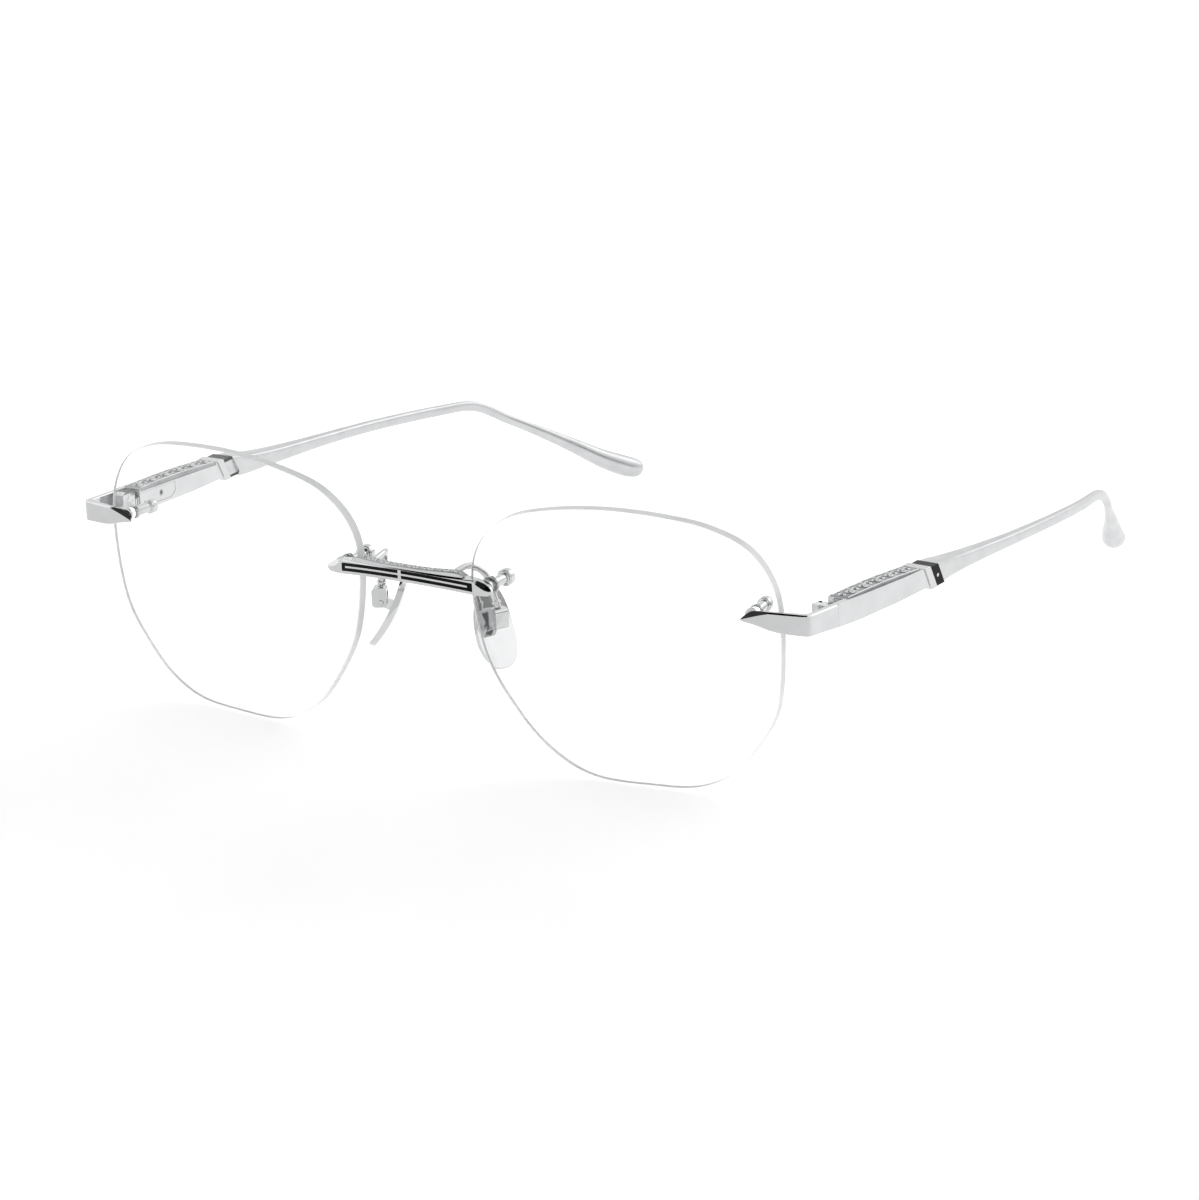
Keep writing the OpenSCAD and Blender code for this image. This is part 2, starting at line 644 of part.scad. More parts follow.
on_left() temple_box();  // temple_box_left
on_right() temple_box();  // temple_box_right
on_left() engraved_strip();  // engraved_strip_left
on_right() engraved_strip();  // engraved_strip_right
on_left() temple_collar();  // temple_collar_left
on_right() temple_collar();  // temple_collar_right
on_left() enamel_band();  // enamel_band_left
on_right() enamel_band();  // enamel_band_right
on_left() band_stud();  // band_stud_left
on_right() band_stud();  // band_stud_right
on_left() temple_arm();  // temple_arm_left
on_right() temple_arm();  // temple_arm_right
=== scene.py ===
import json
import math

import bmesh
import bpy
from mathutils import Matrix, Vector


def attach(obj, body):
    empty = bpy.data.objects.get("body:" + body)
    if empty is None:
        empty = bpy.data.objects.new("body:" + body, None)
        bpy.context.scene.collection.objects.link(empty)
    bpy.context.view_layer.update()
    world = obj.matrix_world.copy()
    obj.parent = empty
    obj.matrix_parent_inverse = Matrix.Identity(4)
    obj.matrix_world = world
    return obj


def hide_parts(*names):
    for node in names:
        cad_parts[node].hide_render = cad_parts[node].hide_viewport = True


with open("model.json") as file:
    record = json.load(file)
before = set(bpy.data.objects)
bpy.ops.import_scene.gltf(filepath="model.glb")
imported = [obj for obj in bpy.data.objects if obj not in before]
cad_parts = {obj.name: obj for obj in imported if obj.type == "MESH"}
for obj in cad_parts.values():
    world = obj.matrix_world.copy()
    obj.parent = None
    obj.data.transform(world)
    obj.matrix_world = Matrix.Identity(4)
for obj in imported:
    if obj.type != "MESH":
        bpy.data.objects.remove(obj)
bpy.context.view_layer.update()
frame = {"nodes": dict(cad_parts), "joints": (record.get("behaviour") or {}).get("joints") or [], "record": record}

# Rimless eyeglasses. Lengths are in millimetres until a piece is placed; "front" coordinates have
# y = 0 on the lens centres' plane, and "temple" coordinates start at the frame's outer corner.

SIDES = ("left", "right")
MM = 0.001

# ---------- places taken from the frame ----------

JOINTS = {j["name"]: j for j in frame["joints"]}
HINGE = Vector(JOINTS["fold_left"]["pos_m"])
FLARE = math.radians(2)
HINGE_IN_TEMPLE = Vector((-2.5, 10, 0)) * MM
CORNER_Y = 3.8
TEMPLE_ORIGIN = HINGE - Matrix.Rotation(-FLARE, 3, "Z") @ HINGE_IN_TEMPLE
TEMPLE_ORIGIN.z = 0
LENS_PLANE_Y = TEMPLE_ORIGIN.y - CORNER_Y * MM
MIRROR = Matrix.Scale(-1, 4, (1, 0, 0))


def front(side):
    """The matrix from front coordinates to the scene."""
    m = Matrix.Translation((0, LENS_PLANE_Y, 0)) @ Matrix.Scale(MM, 4)
    return m if side == "left" else MIRROR @ m


def temple(side):
    """The matrix from temple coordinates to the scene."""
    m = Matrix.Translation(TEMPLE_ORIGIN) @ Matrix.Rotation(-FLARE, 4, "Z") @ Matrix.Scale(MM, 4)
    return m if side == "left" else MIRROR @ m


# ---------- materials ----------

# Middle of a noise texture's values, which is stretched to the range that a material asks for
NOISE_LOW, NOISE_HIGH = 0.3, 0.7
# Height of the finest relief, in metres
FINE_RELIEF = 0.00001


def new_material(name):
    mat = bpy.data.materials.new(name)
    mat.use_nodes = True
    tree = mat.node_tree
    shader = tree.nodes["Principled BSDF"]
    coords = tree.nodes.new("ShaderNodeTexCoord")
    return mat, tree, shader, coords


def noise_node(tree, coords, scale, detail, stretch=(1, 1, 1)):
    """Noise in the object's own coordinates. stretch below 1 draws it out along an axis."""
    mapping = tree.nodes.new("ShaderNodeMapping")
    mapping.inputs["Scale"].default_value = stretch
    noise = tree.nodes.new("ShaderNodeTexNoise")
    noise.inputs["Scale"].default_value = scale
    noise.inputs["Detail"].default_value = detail
    tree.links.new(coords.outputs["Object"], mapping.inputs["Vector"])
    tree.links.new(mapping.outputs["Vector"], noise.inputs["Vector"])
    return noise


def to_range(tree, source, low, high):
    """The noise's values spread over low to high."""
    node = tree.nodes.new("ShaderNodeMapRange")
    node.inputs["From Min"].default_value = NOISE_LOW
    node.inputs["From Max"].default_value = NOISE_HIGH
    node.inputs["To Min"].default_value = low
    node.inputs["To Max"].default_value = high
    tree.links.new(source, node.inputs["Value"])
    return node.outputs["Result"]


def add_bump(tree, shader, height, strength, distance):
    bump = tree.nodes.new("ShaderNodeBump")
    bump.inputs["Strength"].default_value = strength
    bump.inputs["Distance"].default_value = distance
    tree.links.new(height, bump.inputs["Height"])
    tree.links.new(bump.outputs["Normal"], shader.inputs["Normal"])


def vary_colour(tree, shader, source, dark, light):
    ramp = tree.nodes.new("ShaderNodeValToRGB")
    ramp.color_ramp.elements[0].position = NOISE_LOW
    ramp.color_ramp.elements[0].color = (*dark, 1)
    ramp.color_ramp.elements[1].position = NOISE_HIGH
    ramp.color_ramp.elements[1].color = (*light, 1)
    tree.links.new(source, ramp.inputs["Fac"])
    tree.links.new(ramp.outputs["Color"], shader.inputs["Base Color"])


def metal(name, dark, light, rough, stretch, bump_strength):
    """Plated metal: cloudy polish, fine buffing lines and a slight waviness."""
    mat, tree, shader, coords = new_material(name)
    shader.inputs["Metallic"].default_value = 1
    clouds = noise_node(tree, coords, 260, 4)
    vary_colour(tree, shader, clouds.outputs["Fac"], dark, light)
    buffing = noise_node(tree, coords, 3200, 3, stretch)
    rough_out = to_range(tree, buffing.outputs["Fac"], *rough)
    tree.links.new(rough_out, shader.inputs["Roughness"])
    add_bump(tree, shader, buffing.outputs["Fac"], bump_strength, FINE_RELIEF)
    return mat


def enamel_material():
    """Glossy black enamel with fine pits."""
    mat, tree, shader, coords = new_material("black_enamel")
    pits = noise_node(tree, coords, 1500, 4)
    vary_colour(tree, shader, pits.outputs["Fac"], (0.002, 0.002, 0.0025), (0.005, 0.005, 0.0055))
    rough_out = to_range(tree, pits.outputs["Fac"], 0.04, 0.1)
    tree.links.new(rough_out, shader.inputs["Roughness"])
    shader.inputs["Specular IOR Level"].default_value = 0.08
    add_bump(tree, shader, pits.outputs["Fac"], 0.05, FINE_RELIEF)
    return mat


def glass(name, dark, light, rough, transmission, bump_strength):
    """Clear glass or plastic with faint cleaning marks."""
    mat, tree, shader, coords = new_material(name)
    marks = noise_node(tree, coords, 90, 5, (1, 1, 3))
    vary_colour(tree, shader, marks.outputs["Fac"], dark, light)
    rough_out = to_range(tree, marks.outputs["Fac"], *rough)
    tree.links.new(rough_out, shader.inputs["Roughness"])
    shader.inputs["Transmission Weight"].default_value = transmission
    shader.inputs["IOR"].default_value = 1.5
    if bump_strength:
        grain = noise_node(tree, coords, 5000, 2)
        add_bump(tree, shader, grain.outputs["Fac"], bump_strength, 2 * FINE_RELIEF)
    return mat


POLISHED = metal("polished_metal", (0.56, 0.565, 0.57), (0.61, 0.615, 0.62),
                 rough=(0.05, 0.13), stretch=(1, 0.08, 1), bump_strength=0.12)
BRUSHED = metal("brushed_metal", (0.53, 0.535, 0.54), (0.59, 0.595, 0.6),
                rough=(0.28, 0.38), stretch=(1, 0.05, 1), bump_strength=0.08)
GROUND = metal("engraved_ground", (0.26, 0.265, 0.27), (0.36, 0.365, 0.37),
               rough=(0.3, 0.45), stretch=(1, 1, 1), bump_strength=0.5)
SATIN = metal("engraved_metal", (0.5, 0.505, 0.51), (0.6, 0.605, 0.61),
              rough=(0.22, 0.34), stretch=(1, 1, 1), bump_strength=0.35)
PAD_METAL = metal("pad_metal", (0.63, 0.635, 0.64), (0.68, 0.685, 0.69),
                  rough=(0.04, 0.1), stretch=(1, 1, 0.1), bump_strength=0.08)
ENAMEL = enamel_material()
LENS = glass("lens_glass", (0.985, 0.99, 0.99), (1, 1, 1),
             rough=(0.0, 0.004), transmission=1, bump_strength=0)
LENS_EDGE = glass("lens_edge", (0.84, 0.855, 0.86), (0.92, 0.93, 0.935),
                  rough=(0.25, 0.4), transmission=0.25, bump_strength=0.2)
CLEAR = glass("clear_plastic", (0.86, 0.88, 0.89), (0.95, 0.96, 0.97),
              rough=(0.06, 0.16), transmission=0.85, bump_strength=0.1)
SLOT_MATERIALS = {
    "polished_metal": POLISHED, "engraved_metal": SATIN, "pad_metal": PAD_METAL,
    "enamel": ENAMEL, "lens": LENS, "clear_plastic": CLEAR,
}

# ---------- mesh helpers ----------

# An edge sharper than this stays sharp, and is rounded where a piece has a bevel
SHARP_ANGLE = math.radians(32)
# Faces of a CAD mesh that are this close to flat are joined
FLAT_ANGLE = math.radians(0.4)


def make_piece(name, bm, matrix, slot, body, stands_for=(), bevel=0.0, materials=None):
    """Turns a bmesh into a finished piece on a body. bevel is in millimetres."""
    bmesh.ops.transform(bm, matrix=matrix, verts=bm.verts)
    bmesh.ops.recalc_face_normals(bm, faces=bm.faces)
    mesh = bpy.data.meshes.new(name)
    bm.to_mesh(mesh)
    bm.free()
    mesh.polygons.foreach_set("use_smooth", [True] * len(mesh.polygons))
    mesh.set_sharp_from_angle(angle=SHARP_ANGLE)
    for mat in materials or [SLOT_MATERIALS[slot]]:
        mesh.materials.append(mat)
    obj = bpy.data.objects.new(name, mesh)
    bpy.context.scene.collection.objects.link(obj)
    if bevel:
        mod = obj.modifiers.new("edges", "BEVEL")
        mod.width = bevel * MM
        mod.segments = 3
        mod.limit_method = "ANGLE"
        mod.angle_limit = SHARP_ANGLE
        mod.harden_normals = True
    if stands_for:
        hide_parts(*stands_for)
    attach(obj, body)
    return obj


def refined(node, slot, body, bevel, on_seam, materials=None):
    """A copy of a CAD node with whole flat faces and rounded edges, except those that lie on a seam."""
    bm = bmesh.new()
    bm.from_mesh(frame["nodes"][node].data)
    bmesh.ops.remove_doubles(bm, verts=bm.verts, dist=1e-7)
    bmesh.ops.dissolve_limit(bm, angle_limit=FLAT_ANGLE, verts=bm.verts, edges=bm.edges)
    weight = bm.edges.layers.float.new("bevel_weight_edge")
    for edge in bm.edges:
        sharp = len(edge.link_faces) == 2 and edge.calc_face_angle(0) > SHARP_ANGLE
        seam = all(on_seam(v.co) for v in edge.verts)
        edge[weight] = 1.0 if sharp and not seam else 0.0
    obj = make_piece(node + "_fine", bm, Matrix.Identity(4), slot, body, (node,), bevel, materials)
    obj.modifiers["edges"].limit_method = "WEIGHT"
    return obj


def curve_at(a, b, c, d, t):
    """A point on a Catmull-Rom curve between b and c."""
    return [0.5 * (2 * q + (r - p) * t + (2 * p - 5 * q + 4 * r - s) * t * t
                   + (3 * q - p - 3 * r + s) * t ** 3) for p, q, r, s in zip(a, b, c, d)]


def closed_curve(points, steps):
    """A smooth closed curve through points, with steps places from each to the next."""
    n = len(points)
    return [curve_at(points[i - 1], points[i], points[(i + 1) % n], points[(i + 2) % n], s / steps)
            for i in range(n) for s in range(steps)]


def open_curve(points, steps):
    """A smooth curve from the first point to the last. Any further values are carried along."""
    first = [2 * a - b for a, b in zip(points[0], points[1])]
    last = [2 * a - b for a, b in zip(points[-1], points[-2])]
    p = [first, *points, last]
    curve = [curve_at(*p[i:i + 4], s / steps) for i in range(len(points) - 1) for s in range(steps)]
    return curve + [list(points[-1])]


def power(value, e):
    """A power that keeps the sign."""
    return math.copysign(abs(value) ** e, value)


def add_rings(bm, rings, capped=True):
    """Joins closed rings of points into a tube, and returns its faces row by row."""
    rows = [[bm.verts.new(p) for p in ring] for ring in rings]
    count = len(rows[0])
    walls = []
    for low, high in zip(rows, rows[1:]):
        for k in range(count):
            j = (k + 1) % count
            walls.append(bm.faces.new((low[k], low[j], high[j], high[k])))
    if capped:
        bm.faces.new(list(reversed(rows[0])))
        bm.faces.new(rows[-1])
    return walls


def tube_rings(stations, sides):
    """Super-ellipse rings through stations [x, y, z, width, height, squareness]."""
    rings = []
    places = [Vector(s[:3]) for s in stations]
    for i, s in enumerate(stations):
        along = (places[min(i + 1, len(places) - 1)] - places[max(i - 1, 0)]).normalized()
        side = along.cross(Vector((0, 0, 1))).normalized()
        up = side.cross(along)
        ring = []
        for k in range(sides):
            a = 2 * math.pi * (k + 0.5) / sides
            ring.append(places[i] + side * (s[3] / 2) * power(math.cos(a), 2 / s[5])
                        + up * (s[4] / 2) * power(math.sin(a), 2 / s[5]))
        rings.append(ring)
    return rings


def lathe(bm, profile, matrix, segments=64):
    """Turns a closed profile of (radius, height) points round Z."""
    rows = []
    for r, z in profile:
        if r == 0:
            rows.append([bm.verts.new(matrix @ Vector((0, 0, z)))])
        else:
            rows.append([bm.verts.new(matrix @ Vector((r * math.cos(2 * math.pi * k / segments),
                                                       r * math.sin(2 * math.pi * k / segments), z)))
                         for k in range(segments)])
    pairs = list(zip(rows, rows[1:]))
    if len(rows[0]) > 1:
        pairs.append((rows[-1], rows[0]))
    for low, high in pairs:
        for k in range(segments):
            j = (k + 1) % segments
            corners = []
            for v in (low[k % len(low)], low[j % len(low)],
                      high[j % len(high)], high[k % len(high)]):
                if v not in corners:
                    corners.append(v)
            if len(corners) > 2:
                bm.faces.new(corners)


# ---------- lenses ----------

LENS_X, LENS_Z, LENS_T = 38, 23.46, 1.6
LENS_WRAP, LENS_TILT, LENS_R = math.radians(5.7), math.radians(2.9), 157
LENS_OUTLINE = [
    (26.1, 2.7), (25.4, 11.3), (21.5, 17.4), (14.9, 20.5), (7, 21.7), (-2.3, 21.9), (-12, 20.8),
    (-20.3, 18.3), (-25.8, 13.1), (-27.3, 5.8), (-25.3, -5.4), (-19.9, -14.5), (-14.5, -20),
    (-7.5, -23.2), (2.5, -23.4), (10.2, -22.8), (16.2, -20), (20.8, -15.1), (24.8, -8.1),
]
RIM_CHAMFER = 0.12
# Rough mean radius of the outline, which turns the chamfer into a share of it
OUTLINE_R = 24
HOLE_R = 0.95
BRIDGE_POST = (13.6, 30.1)
END_POST = (59.5, 31.1)
END_POST_TURN = math.radians(9)


def lens_front_y(x, z):
    """How far back the lens's front surface is."""
    return ((x - LENS_X) * math.sin(LENS_WRAP) - (z - LENS_Z) * math.sin(LENS_TILT)
            + ((x - LENS_X) ** 2 + (z - LENS_Z) ** 2) / (2 * LENS_R))


def fitting(post, turn):
    """Axes of a lens fitting: z runs back from the lens's front surface."""
    x, z = post
    return (Matrix.Translation((x, lens_front_y(x, z), z)) @ Matrix.Rotation(turn, 4, "Z")
            @ Matrix.Rotation(-math.pi / 2, 4, "X"))


FITTINGS = (fitting(BRIDGE_POST, 0), fitting(END_POST, END_POST_TURN))


def lens(side):
    """The curved lens with its bright ground edge and two holes."""
    local = (Matrix.Translation((LENS_X, 0, LENS_Z)) @ Matrix.Rotation(LENS_WRAP, 4, "Z")
             @ Matrix.Rotation(LENS_TILT + math.pi / 2, 4, "X"))
    outline = closed_curve(LENS_OUTLINE, 10)
    scales = [0.12 * i for i in range(1, 9)] + [0.985, 1 - RIM_CHAMFER / OUTLINE_R]

    def sag(u, v, r):
        return math.sqrt(r * r - u * u - v * v) - LENS_R

    def surface(scale, r):
        return [Vector((u * scale, v * scale, sag(u * scale, v * scale, r))) for u, v in outline]

    def rim(r, step):
        return [Vector((u, v, sag(u, v, r) + step)) for u, v in outline]

    bm = bmesh.new()
    back_r = LENS_R - LENS_T
    rings = [surface(s, LENS_R) for s in scales]
    rings += [rim(LENS_R, -RIM_CHAMFER), rim(back_r, RIM_CHAMFER)]
    rings += [surface(s, back_r) for s in reversed(scales)]
    walls = add_rings(bm, rings)
    edge_rows = range(len(scales) - 1, len(scales) + 2)
    for row in edge_rows:
        for face in walls[row * len(outline):(row + 1) * len(outline)]:
            face.material_index = 1
    bmesh.ops.transform(bm, matrix=local, verts=bm.verts)
    name = f"lens_{side}"
    obj = make_piece(name + "_glass", bm, front(side), "lens", "front", (name,),
                     materials=[LENS, LENS_EDGE])
    for k, place in enumerate(FITTINGS):
        drill(obj, place, side, k)


def drill(obj, place, side, number):
    """Cuts a fitting's hole through a lens."""
    bm = bmesh.new()
    bmesh.ops.create_cone(bm, cap_ends=True, segments=48, radius1=HOLE_R, radius2=HOLE_R, depth=8)
    bmesh.ops.transform(bm, matrix=front(side) @ place, verts=bm.verts)
    bmesh.ops.recalc_face_normals(bm, faces=bm.faces)
    mesh = bpy.data.meshes.new("drill")
    bm.to_mesh(mesh)
    bm.free()
    cutter = bpy.data.objects.new("drill", mesh)
    bpy.context.scene.collection.objects.link(cutter)
    mod = obj.modifiers.new(f"hole_{number}", "BOOLEAN")
    mod.object = cutter
    mod.solver = "EXACT"
    apply_modifiers(obj)
    bpy.data.objects.remove(cutter)
    bpy.data.meshes.remove(mesh)


def apply_modifiers(obj):
    bpy.context.view_layer.update()
    depsgraph = bpy.context.evaluated_depsgraph_get()
    done = bpy.data.meshes.new_from_object(obj.evaluated_get(depsgraph))
    obj.modifiers.clear()
    obj.data = done


# ---------- lens fittings ----------

# Where each part starts and ends along a post, from the lens's front surface
COLLAR_Z = (-0.35, -0.12)
SLEEVE_Z = (0.05, LENS_T - 0.05)
WASHER_Z = (LENS_T + 0.2, LENS_T + 0.48)
NUT_Z = LENS_T + 0.52
# Of two values, the first is for the bridge fitting and the second for the end fitting
POST_R, SLEEVE_R, COLLAR_R = 0.7, 0.9, (1.4, 1.1)
NUT_LENGTH, NUT_HEAD_R = (4.9, 4.3), (1.4, 1.2)
NUT_BASE, NUT_WAIST_R, NUT_HEAD, NUT_BEVEL = 0.45, 0.85, 1.3, 0.25
BRIDGE_BACK = -1.1
END_POST_START = -0.42
CLEARANCE = 0.03


def quarter_arc(r, z, size, start, steps):
    """A rounded corner of a profile: a quarter turn about (r, z), from the angle start."""
    angles = [start + math.pi / 2 * k / steps for k in range(steps + 1)]
    return [(r + size * math.cos(a), z + size * math.sin(a)) for a in angles]


def ring_profile(inner, outer, low, high, round_by):
    """A washer's section with rounded outer edges."""
    r = outer - round_by
    points = [(inner, low)] + quarter_arc(r, low + round_by, round_by, -math.pi / 2, 3)
    return points + quarter_arc(r, high - round_by, round_by, 0, 3) + [(inner, high)]


def nut_profile(length, head_r, base_r):
    """A flanged base, a waist and a rounded head with a shallow recess."""
    z, end = NUT_Z, NUT_Z + length
    head = end - NUT_HEAD
    recess_r, recess = head_r * 0.5, 0.08
    profile = [(0, z), (base_r - 0.1, z), (base_r, z + 0.12), (base_r, z + NUT_BASE - 0.12)]
    profile += [(base_r - 0.12, z + NUT_BASE), (NUT_WAIST_R + 0.1, z + NUT_BASE + 0.02)]
    profile += [(NUT_WAIST_R, z + NUT_BASE + 0.12), (NUT_WAIST_R, head - 0.1)]
    profile += [(NUT_WAIST_R + 0.08, head)]
    profile += quarter_arc(head_r - NUT_BEVEL, head + NUT_BEVEL, NUT_BEVEL, -math.pi / 2, 4)
    profile += quarter_arc(head_r - NUT_BEVEL, end - NUT_BEVEL, NUT_BEVEL, 0, 4)
    return profile + [(head_r * 0.55, end), (recess_r, end - recess), (0, end - recess)]


def turned_parts(name, slot, profiles):
    """One piece of four turned parts. profiles holds the bridge fitting's and the end fitting's."""
    bm = bmesh.new()
    for side in SIDES:
        for place, profile in zip(FITTINGS, profiles):
            lathe(bm, profile, front(side) @ place)
    return make_piece(name + "_fine", bm, Matrix.Identity(4), slot, "front", (name,))


def lens_fittings():
    collars = [ring_profile(POST_R, r, *COLLAR_Z, 0.08) for r in COLLAR_R]
    turned_parts("front_collars", "polished_metal", collars)
    sleeve = ring_profile(POST_R + CLEARANCE, SLEEVE_R, *SLEEVE_Z, 0.05)
    turned_parts("lens_sleeves", "clear_plastic", (sleeve, sleeve))
    washers = [ring_profile(POST_R + CLEARANCE, r - 0.05, *WASHER_Z, 0.06) for r in COLLAR_R]
    turned_parts("rear_washers", "clear_plastic", washers)
    nuts = [nut_profile(*sizes) for sizes in zip(NUT_LENGTH, NUT_HEAD_R, COLLAR_R)]
    turned_parts("post_nuts", "polished_metal", nuts)
    r, end = POST_R - CLEARANCE, NUT_Z + 0.2
    starts = (BRIDGE_BACK - lens_front_y(*BRIDGE_POST), END_POST_START)
    posts = [[(0, start), (r, start), (r, end), (0, end)] for start in starts]
    turned_parts("lens_posts", "polished_metal", posts)


# ---------- temple arms ----------

SLANT, SLANT_Z = 0.5, 29.6
BOX_W, BOX_END = 3.85, 33.6
BAND_Y = (35.3, 37.7)
BAND_FOOT, BAND_TOP, ENAMEL_T = 25.85, 29.42, 0.5
# Places along the arm: x, y, z, width, height, squareness
ARM_STATIONS = [
    (68.55, 40, 27.8, 3.85, 3.58, 8), (68.15, 44, 27.25, 3.85, 3.55, 7),
    (67.8, 48, 26.75, 3.45, 3.15, 5), (67.66, 54, 26.15, 2.95, 2.7, 4),
    (67.64, 61, 25.5, 2.45, 2.35, 3.5), (67.6, 70, 24.7, 2.05, 2.05, 3),
    (67.15, 82, 23.6, 1.75, 1.92, 2.6), (66.1, 94, 22.35, 1.55, 1.88, 2.4),
    (65.1, 101, 21.6, 1.48, 1.85, 2.3), (64.25, 105.5, 21.15, 1.42, 1.82, 2.2),
    (63.8, 108, 20.75, 1.35, 1.8, 2.2), (63.35, 110.4, 20.05, 1.3, 1.75, 2.2),
    (62.6, 113, 18.75, 1.28, 1.7, 2.2), (61.3, 116.6, 16.45, 1.3, 1.7, 2.2),
    (59, 121.4, 13.55, 1.5, 1.85, 2.1), (55.7, 128.7, 8.95, 2.45, 2.5, 2),
    (52.9, 134.4, 5.1, 3.5, 3.3, 2), (51, 138.5, 2.8, 4.05, 3.75, 2),
    (50, 140.6, 1.85, 3.9, 3.55, 2), (49.45, 141.8, 1.4, 3.2, 2.9, 2),
    (49.2, 142.3, 1.2, 1.9, 1.8, 2), (49.1, 142.5, 1.1, 0.6, 0.5, 2),
]


def slanted(y, z):
    """The place along the temple of a slanted end that passes y at the height SLANT_Z."""
    return y + SLANT * (SLANT_Z - z)


def add_slanted_block(bm, x0, x1, y0, y1, z0, z1):
    """A block in temple coordinates whose two ends lean."""
    rings = [[Vector((x, slanted(y0, z0), z0)), Vector((x, slanted(y1, z0), z0)),
              Vector((x, slanted(y1, z1), z1)), Vector((x, slanted(y0, z1), z1))] for x in (x0, x1)]
    add_rings(bm, rings)


def temple_arm(side):
    """The rear arm, cut on a slant behind the band, with its core under the enamel."""
    to_temple = temple("left").inverted() @ front("left")
    bm = bmesh.new()
    rings = [[to_temple @ p for p in ring] for ring in tube_rings(open_curve(ARM_STATIONS, 8), 56)]
    add_rings(bm, rings)
    cut_normal = Vector((0, 1, SLANT))
    cut_at = Vector((0, slanted(BAND_Y[1], SLANT_Z), SLANT_Z))
    result = bmesh.ops.bisect_plane(bm, geom=bm.verts[:] + bm.edges[:] + bm.faces[:], plane_co=cut_at,
                                    plane_no=cut_normal, clear_inner=True)
    rim = [e for e in result["geom_cut"] if isinstance(e, bmesh.types.BMEdge)]
    bmesh.ops.edgeloop_fill(bm, edges=rim)
    add_slanted_block(bm, -BOX_W, -ENAMEL_T, BAND_Y[0], BAND_Y[1] + 0.3,
                      BAND_FOOT + ENAMEL_T, BAND_TOP - ENAMEL_T)
    name = f"temple_arm_{side}"
    return make_piece(name + "_fine", bm, temple(side), "polished_metal", f"temple_{side}", (name,),
                      materials=[BRUSHED])


# ---------- end pieces ----------

WALL, SPLIT_Y = 1.05, 8.4
CORNER_R, CORNER_INNER_R, CORNER_FRONT_Y = 1.2, 0.15, -0.2
PLATE_ANGLE = math.radians(10.6)
TIP = Vector((58.1, 2.1))
INNER_TIP = TIP + Vector((0.3, 0.62))
BOX_BOTTOM = ((-2, 28.75), (1.7, 28.55), (7.5, 27.85), (14.1, 27.24), (20.8, 26.9),
              (26.4, 26.6), (34.6, 26.44))


def box_top(y):
    """Height of the temple box's top, which falls towards the back."""
    return 32.05 - 0.0715 * y


def lookup(x, table):
    """Straight-line value of a table of (x, value) at x."""
    if x <= table[0][0]:
        return table[0][1]
    for (x0, v0), (x1, v1) in zip(table, table[1:]):
        if x <= x1:
            return v0 + (v1 - v0) * (x - x0) / (x1 - x0)
    return table[-1][1]


PLATE_TOP = ((58.1, 30.6), (58.5, 31.2), (59.2, 31.65), (60.2, 31.9), (61.8, 31.99), (69, 32.05))
PLATE_FOOT = ((58.1, 30.2), (60.4, 29.75), (62.8, 29.05), (64.5, 28.78), (69, 28.68))
# Height of the lower edge of the bevel along the blade and the plate
BEVEL_FOOT = ((58.1, 30.45), (60.2, 31.1), (61.6, 31.5), (62.6, 31.74), (66.5, 31.78), (69, 31.85))
# Height of the bevel on the corner and the arm, depth of a bevel for each mm of its height, and the
# small bevel of the other edges
ARM_BEVEL, BEVEL_DEPTH, SMALL_BEVEL = 0.2, 0.8, 0.1
PLATE_STEPS, CORNER_STEPS, ARM_STEPS = 14, 9, 8


def end_piece_stations():
    """Rows of (outer point, inner point, top, foot, bevel) in front coordinates, from tip to split."""
    to_front = front("left").inverted() @ temple("left")
    corner_start = PLATE_ANGLE - math.pi / 2
    centre = Vector((-CORNER_R, CORNER_R + CORNER_FRONT_Y, 0))

    def on_corner(a, r):
        return (to_front @ (centre + Vector((math.cos(a), math.sin(a), 0)) * r)).xy

    stations = []
    start = on_corner(corner_start, CORNER_R)
    inner_start = on_corner(corner_start, CORNER_INNER_R)
    for k in range(PLATE_STEPS + 1):
        t = (k / PLATE_STEPS) ** 1.15
        outer = TIP.lerp(start, t)
        inner = INNER_TIP.lerp(inner_start, t)
        x = outer.x
        top = lookup(x, PLATE_TOP)
        stations.append((outer, inner, top, lookup(x, PLATE_FOOT), top - lookup(x, BEVEL_FOOT)))
    for k in range(1, CORNER_STEPS + 1):
        blend = k / CORNER_STEPS
        a = corner_start * (1 - blend)
        outer, inner = on_corner(a, CORNER_R), on_corner(a, CORNER_INNER_R)
        y = (to_front.inverted() @ Vector((outer.x, outer.y, 0))).y
        top = lookup(outer.x, PLATE_TOP) * (1 - blend) + box_top(y) * blend
        foot = lookup(outer.x, PLATE_FOOT) * (1 - blend) + lookup(y, BOX_BOTTOM) * blend
        stations.append((outer, inner, top, foot, ARM_BEVEL))
    for k in range(1, ARM_STEPS + 1):
        y = centre.y + (SPLIT_Y - centre.y) * k / ARM_STEPS
        outer, inner = (to_front @ Vector((0, y, 0))).xy, (to_front @ Vector((-WALL, y, 0))).xy
        stations.append((outer, inner, box_top(y), lookup(y, BOX_BOTTOM), ARM_BEVEL))
    return stations


def end_piece(side):
    """The blade, the rounded corner and the short arm to the hinge."""
    small = SMALL_BEVEL
    rings = []
    for outer, inner, top, foot, bevel in end_piece_stations():
        across = (inner - outer).normalized()
        depth = (inner - outer).length
        bevel_in = min(bevel * BEVEL_DEPTH, depth * 0.8)
        section = [(0, foot + small), (0, top - bevel), (bevel_in, top), (depth - small, top),
                   (depth, top - small), (depth, foot + small), (depth - small, foot), (small, foot)]
        rings.append([Vector((*(outer + across * d), z)) for d, z in section])
    bm = bmesh.new()
    add_rings(bm, rings)
    name = f"end_piece_{side}"
    return make_piece(name + "_fine", bm, front(side), "polished_metal", "front", (name,))


# ---------- bridge ----------

